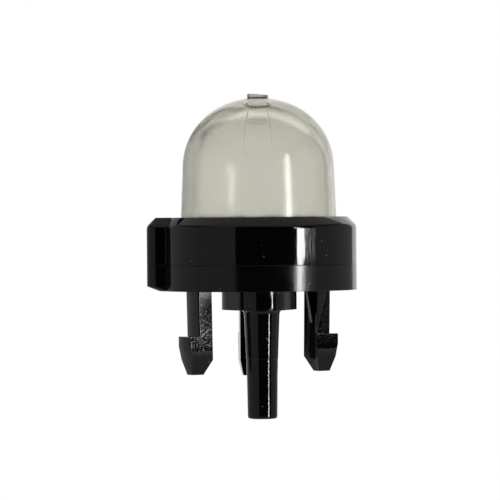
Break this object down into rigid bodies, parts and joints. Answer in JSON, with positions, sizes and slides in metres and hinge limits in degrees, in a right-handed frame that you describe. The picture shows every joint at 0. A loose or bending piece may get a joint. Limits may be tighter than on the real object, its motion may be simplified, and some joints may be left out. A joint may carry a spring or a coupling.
{
  "type": "primer bulb",
  "caption": "Snap-in primer bulb: clear domed bulb clamped by a black keyed ring on a black base with barbed snap legs and hose nipples below.",
  "frame": {"origin": "on the bulb's axis, in the plane of the base's seat face, where the part sits on its panel", "axes": "+Z along the axis out of the panel, through the dome; -Y towards the front hose nipple; -X towards the key lug"},
  "size_m": [0.0237, 0.0222, 0.0365],
  "materials": {
    "clear_urethane": "clear, faintly yellow-grey flexible urethane, glossy",
    "gloss_black": "glossy black moulded plastic",
    "satin_black": "satin black moulded plastic",
    "valve_rubber": "matt dark elastomer"
  },
  "bodies": {
    "root": {"bulb": "clear_urethane", "retaining_ring": "gloss_black", "base": "satin_black", "check_valve": "valve_rubber"}
  },
  "joints": []
}
